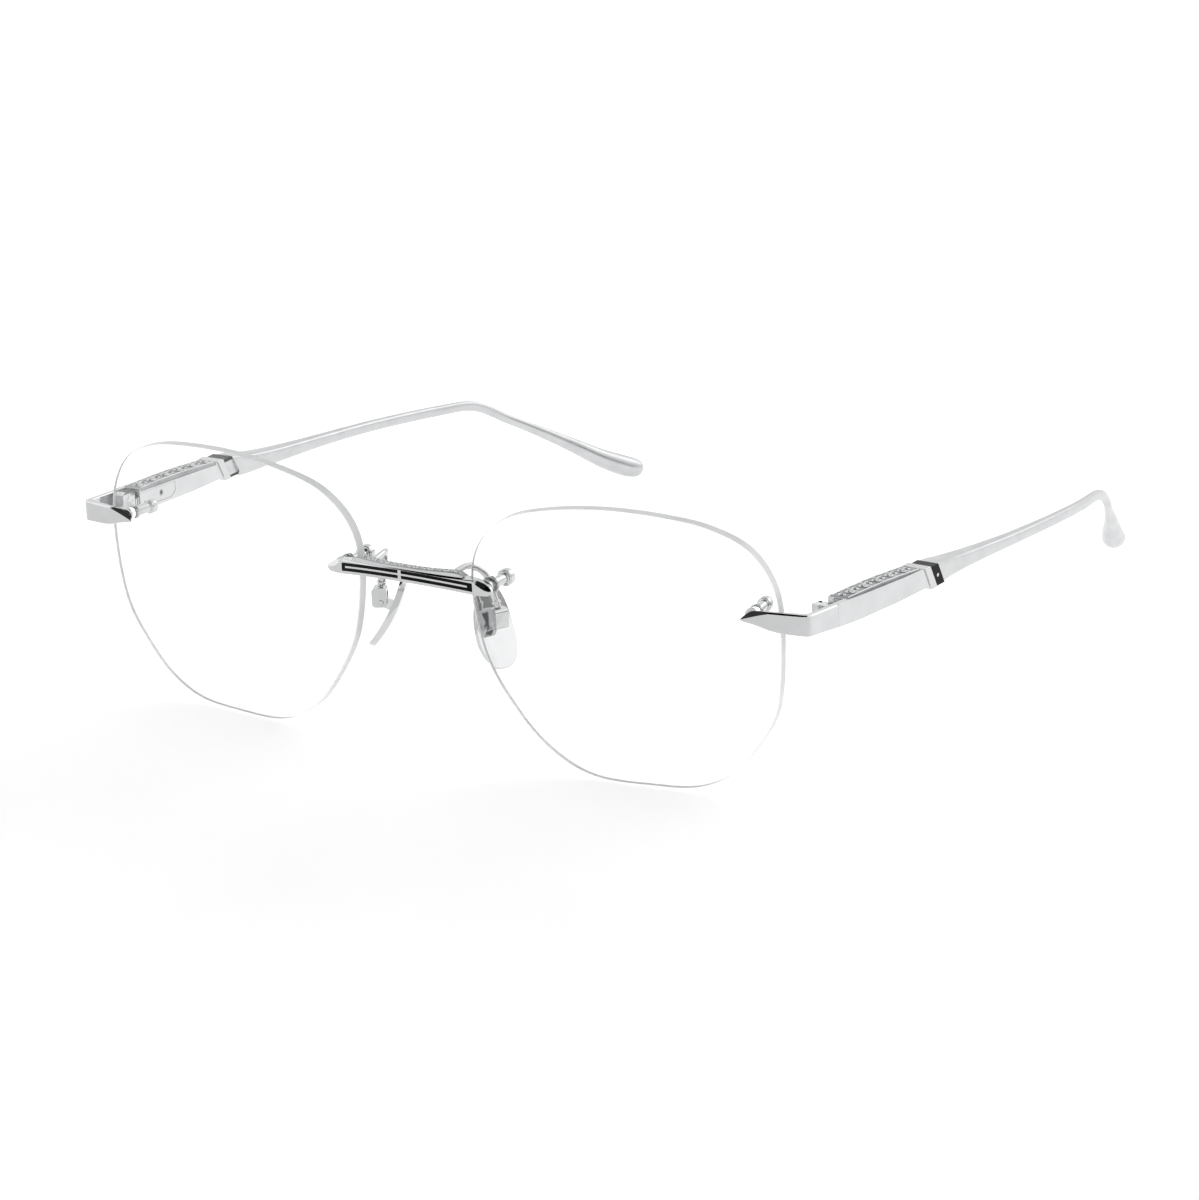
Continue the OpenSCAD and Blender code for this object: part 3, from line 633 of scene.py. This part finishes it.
# The bar is described by s, the distance from its middle. From NIB_START on, its front, foot and
# top are in tables.
INLAY_END, RIB_END, SEAM, NIB_START = 12.4, 11.6, 0.3, 12.6
INLAY_HALF, RIB_HALF, CHANNEL = 0.69, 0.15, 0.42
PLATFORM_X = (1.5, 3, 4.5, 6, 7, 8, 8.6, 9.1, 9.6, 10, 10.4, 10.8, 11.1)
NIB_X = (12.6, 12.85, 13.1, 13.5, 13.9, 14.4, 14.8, 15.1, 15.3, 15.45, 15.57, 15.63)
NIB_FRONT = ((12.6, -2.78), (13.6, -2.62), (15, -2.5), (15.4, -2.38), (15.63, -2.2))
BAR_BACK = ((8, -1.51), (11.8, -1.1), (14.9, -1.1), (15.4, -1.5), (15.63, -1.9))
NIB_FOOT = ((12.6, 29.25), (13.4, 29.2), (14.4, 29.25), (15.1, 29.35), (15.45, 29.6), (15.63, 29.85))
NIB_TOP = ((12.6, 31.63), (12.9, 31.58), (14.2, 31.1), (15.2, 30.55), (15.5, 30.3), (15.63, 30.1))
NIB_FACET = ((12.4, 0.12), (13, 0.6), (14.2, 0.85), (15.2, 0.5), (15.63, 0.08))
PLATFORM_RISE = ((0, 0.3), (4, 0.32), (7, 0.5), (9, 0.66), (10, 0.5), (11, 0.05), (11.4, 0))
PLATFORM_END = 11
LEDGE = 0.62
# Faces of a ring of the bar that form the platform's front wall and top
PLATFORM_COLUMNS = (13, 14)


def bar_front(s):
    return 0.0124 * s * s - 4.75 if s < NIB_START else lookup(s, NIB_FRONT)


def bar_back(s):
    return bar_front(s) + 2.45 if s < 8 else lookup(s, BAR_BACK)


def bar_foot(s):
    return 30.3 - 0.0066 * s * s if s < NIB_START else lookup(s, NIB_FOOT)


def bar_top(s):
    return 32.2 - 0.0036 * s * s if s < NIB_START else lookup(s, NIB_TOP)


def inlay_mid(s):
    return 31.5 - 0.0066 * s * s


def bar_facet(s):
    """Width of the bevel along the bar's front top edge, which widens into the nib's facet."""
    if s > INLAY_END:
        return lookup(s, NIB_FACET)
    return max(0.01, min(0.12, 0.8 * (bar_top(s) - inlay_mid(s) - INLAY_HALF)))


def bar_ledge(s):
    """How far behind the front face the engraved platform starts."""
    return max(bar_facet(s) * BEVEL_DEPTH + 0.04, min(LEDGE, 0.45 * (bar_back(s) - bar_front(s))))


def bar_ring(x, channel, rib):
    """The bar's section at x. channel and rib say how deep the inlay's groove and its rib lie."""
    s = abs(x)
    f, b, foot, top = bar_front(s), bar_back(s), bar_foot(s), bar_top(s)
    rise = lookup(s, PLATFORM_RISE)
    edge = min(0.1, (b - f) * 0.2)
    facet, ledge, mid = bar_facet(s), bar_ledge(s), inlay_mid(s)
    low, high = foot + edge, top - facet
    levels = [mid - INLAY_HALF, mid - INLAY_HALF, mid - RIB_HALF, mid - RIB_HALF,
              mid + RIB_HALF, mid + RIB_HALF, mid + INLAY_HALF, mid + INLAY_HALF]
    if s > INLAY_END + 0.01:
        t = min(1, (s - INLAY_END) / 0.8)
        even = [low + (high - low) * (k + 1) / 9 for k in range(8)]
        levels = [groove * (1 - t) + plain * t for groove, plain in zip(levels, even)]
    depths = [0, channel, channel, rib, rib, channel, channel, 0]
    section = [(f + edge, foot), (f, low)]
    section += [(f + d, z) for d, z in zip(depths, levels)]
    section += [(f, high), (f + facet * BEVEL_DEPTH, top), (f + ledge, top + 0.01),
                (f + ledge + 0.1, top + 0.02 + rise * 0.85), (f + ledge + 0.2, top + rise),
                (b - edge, top + rise), (b, top + rise - edge), (b, foot + edge), (b - edge, foot)]
    return [Vector((x, y, z)) for y, z in section]


def bridge_bar():
    """The bar with its two grooves, nib-shaped ends and raised platform."""
    half = [(0, 0, 0), (SEAM, 0, 0), (SEAM, CHANNEL, 0)]
    half += [(x, CHANNEL, 0) for x in PLATFORM_X]
    half += [(RIB_END, CHANNEL, 0), (RIB_END, CHANNEL, CHANNEL)]
    half += [(INLAY_END, CHANNEL, CHANNEL), (INLAY_END, 0, 0)]
    half += [(x, 0, 0) for x in NIB_X]
    rows = [(-x, c, r) for x, c, r in reversed(half[1:])] + half
    rings = [bar_ring(*row) for row in rows]
    bm = bmesh.new()
    walls = add_rings(bm, rings)
    for k, face in enumerate(walls):
        row, column = divmod(k, len(rings[0]))
        furthest = max(abs(rows[row][0]), abs(rows[row + 1][0]))
        if column in PLATFORM_COLUMNS and furthest < PLATFORM_END:
            face.material_index = 1
    bmesh.ops.remove_doubles(bm, verts=bm.verts, dist=0.0005)
    bmesh.ops.dissolve_degenerate(bm, edges=bm.edges, dist=0.0005)
    return make_piece("bridge_bar_fine", bm, front("left"), "polished_metal", "front", ("bridge_bar",),
                      materials=[POLISHED, GROUND])


# ---------- relief ----------

# (along, across) in shares of a cell and of the width, and a dot in millimetres
LEAF = ((0.3, 0.42), (0.42, 0.2), (0.5, 0.02), (0.58, -0.2), (0.7, -0.42))
DOT = ((-0.06, 0.0), (0.0, 0.02), (0.06, 0.0))


def add_thread(bm, points, radius, sides=8):
    """A thin round ridge along points."""
    add_rings(bm, tube_rings([(*p, 2 * radius, 2 * radius, 2) for p in points], sides))


def scroll_points(turn, size, count=22):
    """A flat scroll round the origin, as (along, across) pairs."""
    points = []
    for k in range(count):
        t = k / (count - 1)
        a = 2.7 * math.pi * (1 - t)
        r = size * (0.16 + 0.84 * t)
        points.append((r * math.cos(a), turn * r * math.sin(a)))
    return points


def add_relief(bm, length, width, cells, surface, radius):
    """Running scrolls and leaves between two rails. surface turns (along, across) into a place."""
    pitch = length / cells
    size = min(pitch, width) * 0.46
    for c in range(cells):
        turn = 1 if c % 2 else -1
        middle = (c + 0.5) * pitch
        add_thread(bm, [surface(middle + u, v) for u, v in scroll_points(turn, size)], radius)
        if c < cells - 1:
            leaf = [surface(middle + u * pitch, turn * v * width) for u, v in LEAF]
            add_thread(bm, leaf, radius * 0.85)
        add_thread(bm, [surface(middle + u, v) for u, v in DOT], radius * 1.5)
    for edge in (-0.5, 0.5):
        steps = 3 * cells
        rail = [surface(length * k / steps, edge * (width - 2 * radius)) for k in range(steps + 1)]
        add_thread(bm, rail, radius * 0.8)


STRIP_Y = (11.7, 33.2)
STRIP_INNER, STRIP_OUTER = -3.85, -0.45


def strip_top(y):
    along = (y - STRIP_Y[0]) / (STRIP_Y[1] - STRIP_Y[0])
    return box_top(y) + 0.12 + 0.25 * math.sin(math.pi * along)


def strip_relief(side):
    def surface(along, across):
        y = STRIP_Y[0] + 0.5 + along
        return Vector(((STRIP_INNER + STRIP_OUTER) / 2 + across, y, strip_top(y) - 0.04))

    bm = bmesh.new()
    length, width = STRIP_Y[1] - STRIP_Y[0] - 0.8, STRIP_OUTER - STRIP_INNER - 0.2
    add_relief(bm, length, width, 11, surface, 0.14)
    return make_piece(f"strip_relief_{side}", bm, temple(side), "engraved_metal", f"temple_{side}")


def bridge_relief():
    half, width = 10.2, 1.2

    def surface(along, across):
        x = along - half
        s = abs(x)
        y = (bar_front(s) + bar_ledge(s) + bar_back(s)) / 2 + 0.05 + across
        return Vector((x, y, bar_top(s) + lookup(s, PLATFORM_RISE) - 0.03))

    bm = bmesh.new()
    add_relief(bm, 2 * half, width, 15, surface, 0.1)
    return make_piece("bridge_relief", bm, front("left"), "engraved_metal", "front")


# ---------- nose pads ----------

PAD_PIVOT = Vector((11.4, 6, 22.3))
PAD_TURN, PAD_SPLAY = math.radians(26.6), math.radians(27)
LUG_AT = Vector((2.55, 0.1, 0.5))
PAD_W, PAD_LEN, DISH_R = 7, 13.6, 22
PAD_TAPER, PAD_LEAN = 0.14, math.radians(5)
PAD_MIDDLE, PAD_EDGE = 1.3, 1.05
PAD_ARM_ROUTE = [
    (7.6, -1.5, 31.4), (7.7, 0.6, 31.75), (8.0, 2.6, 31.85), (8.8, 4.3, 31.4), (9.8, 5.3, 30.2),
    (10.35, 5.8, 28.4), (10.8, 6, 26.6), (11.55, 5.95, 24.75),
]
PAD_WIRE = 1.05


def pad_place():
    return (Matrix.Translation(PAD_PIVOT) @ Matrix.Rotation(-PAD_TURN, 4, "Z")
            @ Matrix.Rotation(-PAD_SPLAY, 4, "Y") @ Matrix.Translation(-LUG_AT))


def nose_pad(side):
    """A dished oval plate, thinner at its rim, with the lug that the pin goes through."""
    points, roundness = 72, 0.85
    turns = [2 * math.pi * k / points for k in range(points)]
    heights = [power(math.sin(a), roundness) for a in turns]
    outline = [(PAD_W / 2 * power(math.cos(a), roundness) * (1 - PAD_TAPER * h), PAD_LEN / 2 * h)
               for a, h in zip(turns, heights)]
    scales = (0.12, 0.3, 0.5, 0.68, 0.82, 0.92, 0.97)

    def face(scale, sign):
        """One side of the plate, scale of the way out to its rim."""
        half = (PAD_MIDDLE + (PAD_EDGE - PAD_MIDDLE) * scale ** 3) / 2
        dish = [DISH_R - math.sqrt(DISH_R ** 2 - (y * scale) ** 2 - (z * scale) ** 2)
                for y, z in outline]
        return [Vector((d + sign * half, y * scale, z * scale)) for d, (y, z) in zip(dish, outline)]

    rings = [face(s, 1) for s in scales]
    rings += [[(p + q) / 2 for p, q in zip(face(0.993, 1), face(0.985, 1))]]
    rings += [[p.lerp(q, t) for p, q in zip(face(1, 1), face(1, -1))] for t in (0.3, 0.5, 0.7)]
    rings += [[(p + q) / 2 for p, q in zip(face(0.993, -1), face(0.985, -1))]]
    rings += [face(s, -1) for s in reversed(scales)]
    bm = bmesh.new()
    add_rings(bm, rings)
    bmesh.ops.rotate(bm, matrix=Matrix.Rotation(-PAD_LEAN, 3, "X"), verts=bm.verts)
    lug_r, half_lug, lug_foot = 0.8, 0.45, 0.4
    x, y, z = LUG_AT
    arc = [(x + lug_r * math.cos(a), z + lug_r * math.sin(a))
           for a in [math.radians(d) for d in range(-90, 91, 15)]]
    shape = [(lug_foot, z - lug_r)] + arc + [(lug_foot, z + lug_r)]
    low = [Vector((u, y - half_lug, v)) for u, v in shape]
    high = [Vector((u, y + half_lug, v)) for u, v in shape]
    add_rings(bm, [low, high])
    name = f"nose_pad_{side}"
    return make_piece(name + "_fine", bm, front(side) @ pad_place(), "pad_metal", f"pad_{side}",
                      (name,), 0.06)


def wire_ring(bm, place, proud, height):
    """A small ring round the pad's wire."""
    profile = ring_profile(PAD_WIRE / 2 - 0.05, PAD_WIRE / 2 + proud, 0, height, 0.12)
    lathe(bm, profile, place, 40)


def pad_arm(side):
    """The wire from the bridge down to the pad's box, with a ring at each end."""
    route = open_curve(PAD_ARM_ROUTE, 8)
    bm = bmesh.new()
    add_thread(bm, route, PAD_WIRE / 2, 28)
    end, before = Vector(route[-1]), Vector(route[-4])
    axis = (end - before).normalized()
    turn = axis.to_track_quat("Z", "Y").to_matrix().to_4x4()
    wire_ring(bm, Matrix.Translation(end - axis * 1.05) @ turn, 0.22, 0.5)
    foot = Vector(route[0]) + Vector((0, 0.35, 0.05))
    wire_ring(bm, Matrix.Translation(foot) @ Matrix.Rotation(-math.pi / 2, 4, "X"), 0.2, 0.4)
    name = f"pad_arm_{side}"
    return make_piece(name + "_fine", bm, front(side), "polished_metal", "front", (name,))


# ---------- pins ----------

PIN_R, PIN_AT = 0.45, Vector((-BOX_W - 0.02, 17.4, 28.95))
PIN_LENGTH, DIMPLE_R, DIMPLE = BOX_W - 0.5, 0.22, 0.7


def dimpled_pin(side):
    """The pin that holds the hinge leaf, with a bevelled rim and a deep dimple."""
    profile = [(0, DIMPLE), (DIMPLE_R, DIMPLE), (0.3, 0.05), (0.36, 0), (PIN_R - 0.03, 0.09),
               (PIN_R, 0.2), (PIN_R, PIN_LENGTH), (0, PIN_LENGTH)]
    place = Matrix.Translation(PIN_AT) @ Matrix.Rotation(math.pi / 2, 4, "Y")
    bm = bmesh.new()
    lathe(bm, profile, place, 40)
    name = f"leaf_pin_{side}"
    return make_piece(name + "_fine", bm, temple(side), "polished_metal", f"temple_{side}", (name,))


# ---------- pieces that keep the CAD shape ----------

# Rounding of the edges, by kind of node
BEVELS = {
    "bridge_inlay": 0.01, "pad_box": 0.28, "pad_pin": 0.04, "hinge_front": 0.12,
    "hinge_screw": 0.05, "hinge_leaf": 0.1, "temple_box": 0.26, "engraved_strip": 0.1,
    "temple_collar": 0.15, "enamel_band": 0.06, "band_stud": 0.05,
}


def at_split(place):
    """Whether a place in temple coordinates lies where the end piece and the temple box meet."""
    return place.y < SPLIT_Y + 0.1


def at_box_end(place):
    """Whether it lies where the temple box and the collar meet."""
    return abs(place.y - slanted(BOX_END + 0.025, place.z)) < 0.04


# Edges that stay sharp, so that no groove is drawn between two pieces that meet flush
SEAMS = {"temple_box": (at_split, at_box_end), "temple_collar": (at_box_end,)}


def plain_pieces():
    """Finer copies of the nodes whose CAD shape is right."""
    slots = {s["node"]: s["material_slot"] for s in frame["record"]["subparts"]}
    bodies = frame["record"]["behaviour"]["bodies"]
    body_of = {n: body for body, nodes in bodies.items() for n in nodes}
    for node in frame["nodes"]:
        kind, _, side = node.rpartition("_")
        if kind not in BEVELS or side not in SIDES:
            continue
        to_temple, seams = temple(side).inverted(), SEAMS.get(kind, ())

        def on_seam(co):
            return any(seam(to_temple @ co) for seam in seams)

        ground = [GROUND] if kind == "engraved_strip" else None
        refined(node, slots[node], body_of[node], BEVELS[kind], on_seam, ground)


for side in SIDES:
    lens(side)
    end_piece(side)
    pad_arm(side)
    nose_pad(side)
    dimpled_pin(side)
    strip_relief(side)
    temple_arm(side)
bridge_bar()
bridge_relief()
lens_fittings()
plain_pieces()

# ---------- stage, light and camera ----------

# Painted light on the floor: it glows, and the glow grows towards the back as if a lamp behind lit it, which also
# washes out its shadows: two places along Y, and its strengths there
FLOOR_PAINTED_LIGHT = (-0.13, 0.02, 0.5, 0.74)
FLOOR_R, FLOOR_Z = 4, -0.0002


def floor():
    """A pale floor that melts into the white room, with painted light: it glows, more towards the back."""
    bm = bmesh.new()
    bmesh.ops.create_circle(bm, cap_ends=True, segments=96, radius=FLOOR_R)
    mesh = bpy.data.meshes.new("floor")
    bm.to_mesh(mesh)
    bm.free()
    mat, tree, shader, coords = new_material("pale_floor")
    paper = noise_node(tree, coords, 40, 3)
    vary_colour(tree, shader, paper.outputs["Fac"], (0.62, 0.62, 0.62), (0.64, 0.64, 0.64))
    shader.inputs["Roughness"].default_value = 0.9
    shader.inputs["Specular IOR Level"].default_value = 0.1
    # Painted light: the floor's emission stands in for the light of a lamp behind, grows towards the back and
    # hides the floor's shadows
    shader.inputs["Emission Color"].default_value = (1, 1, 1, 1)
    place = tree.nodes.new("ShaderNodeSeparateXYZ")
    tree.links.new(coords.outputs["Object"], place.inputs["Vector"])
    painted_light = tree.nodes.new("ShaderNodeMapRange")
    painted_light.interpolation_type = "SMOOTHSTEP"
    for key, value in zip(("From Min", "From Max", "To Min", "To Max"), FLOOR_PAINTED_LIGHT):
        painted_light.inputs[key].default_value = value
    tree.links.new(place.outputs["Y"], painted_light.inputs["Value"])
    tree.links.new(painted_light.outputs["Result"], shader.inputs["Emission Strength"])
    mesh.materials.append(mat)
    obj = bpy.data.objects.new("floor", mesh)
    bpy.context.scene.collection.objects.link(obj)
    obj.location.z = FLOOR_Z


# Soft patches of the studio that the metal reflects: direction, cosine where each begins, cosine
# where it is full, and its brightness. The ceiling is dark, and a window-like lamp stands behind.
PATCHES = (
    ((0.06, -0.4, 0.91), 0.82, 0.88, 0.02),
    ((0.96, 0.1, 0.14), 0.94, 0.975, 0.2),
    ((0.3, 0.79, 0.5), 0.93, 0.975, 2),
    ((-0.4, -0.58, 0.71), 0.92, 0.96, 0.05),
    ((-0.85, -0.12, 0.5), 0.88, 0.95, 1.4),
    ((0.65, 0.08, 0.75), 0.85, 0.95, 1.35),
    ((0.5, -0.8, 0.3), 0.75, 0.95, 0.8),
)


def studio():
    """An even white room with patches that are darker or brighter."""
    world = bpy.data.worlds.new("studio")
    world.use_nodes = True
    bpy.context.scene.world = world
    tree = world.node_tree
    background = tree.nodes["Background"]
    coords = tree.nodes.new("ShaderNodeTexCoord")
    level = None
    for direction, begins, full, brightness in PATCHES:
        dot = tree.nodes.new("ShaderNodeVectorMath")
        dot.operation = "DOT_PRODUCT"
        dot.inputs[1].default_value = Vector(direction).normalized()
        tree.links.new(coords.outputs["Generated"], dot.inputs[0])
        patch = tree.nodes.new("ShaderNodeMapRange")
        patch.interpolation_type = "SMOOTHSTEP"
        patch.inputs["From Min"].default_value = begins
        patch.inputs["From Max"].default_value = full
        patch.inputs["To Min"].default_value = 1
        patch.inputs["To Max"].default_value = brightness
        tree.links.new(dot.outputs["Value"], patch.inputs["Value"])
        if level is None:
            level = patch.outputs["Result"]
        else:
            both = tree.nodes.new("ShaderNodeMath")
            both.operation = "MULTIPLY"
            tree.links.new(level, both.inputs[0])
            tree.links.new(patch.outputs["Result"], both.inputs[1])
            level = both.outputs["Value"]
    tree.links.new(level, background.inputs["Color"])
    background.inputs["Strength"].default_value = 1.0


CAMERA_TURN, CAMERA_RISE = math.radians(33.37), math.radians(18.435)
CAMERA_ROLL = math.radians(-2.546)
CAMERA_DISTANCE, FOCAL_LENGTH = 0.8375, 156.05
CAMERA_TARGET = Vector((0.014381, LENS_PLANE_Y + 0.030, 0.01879))


def camera():
    """Looks from the front, on the wearer's left."""
    back = Vector((math.sin(CAMERA_TURN) * math.cos(CAMERA_RISE),
                   -math.cos(CAMERA_TURN) * math.cos(CAMERA_RISE), math.sin(CAMERA_RISE)))
    right = (-back).cross(Vector((0, 0, 1))).normalized()
    up = right.cross(-back)
    turned_right = math.cos(CAMERA_ROLL) * right + math.sin(CAMERA_ROLL) * up
    turned_up = -math.sin(CAMERA_ROLL) * right + math.cos(CAMERA_ROLL) * up
    data = bpy.data.cameras.new("camera")
    data.lens = FOCAL_LENGTH
    data.sensor_width = 36
    data.clip_start = 0.01
    obj = bpy.data.objects.new("camera", data)
    obj.matrix_world = Matrix.Translation(CAMERA_TARGET + back * CAMERA_DISTANCE) @ Matrix(
        (turned_right, turned_up, back)).transposed().to_4x4()
    bpy.context.scene.collection.objects.link(obj)
    bpy.context.scene.camera = obj


floor()
studio()
camera()
bpy.context.scene.view_settings.view_transform = "Standard"
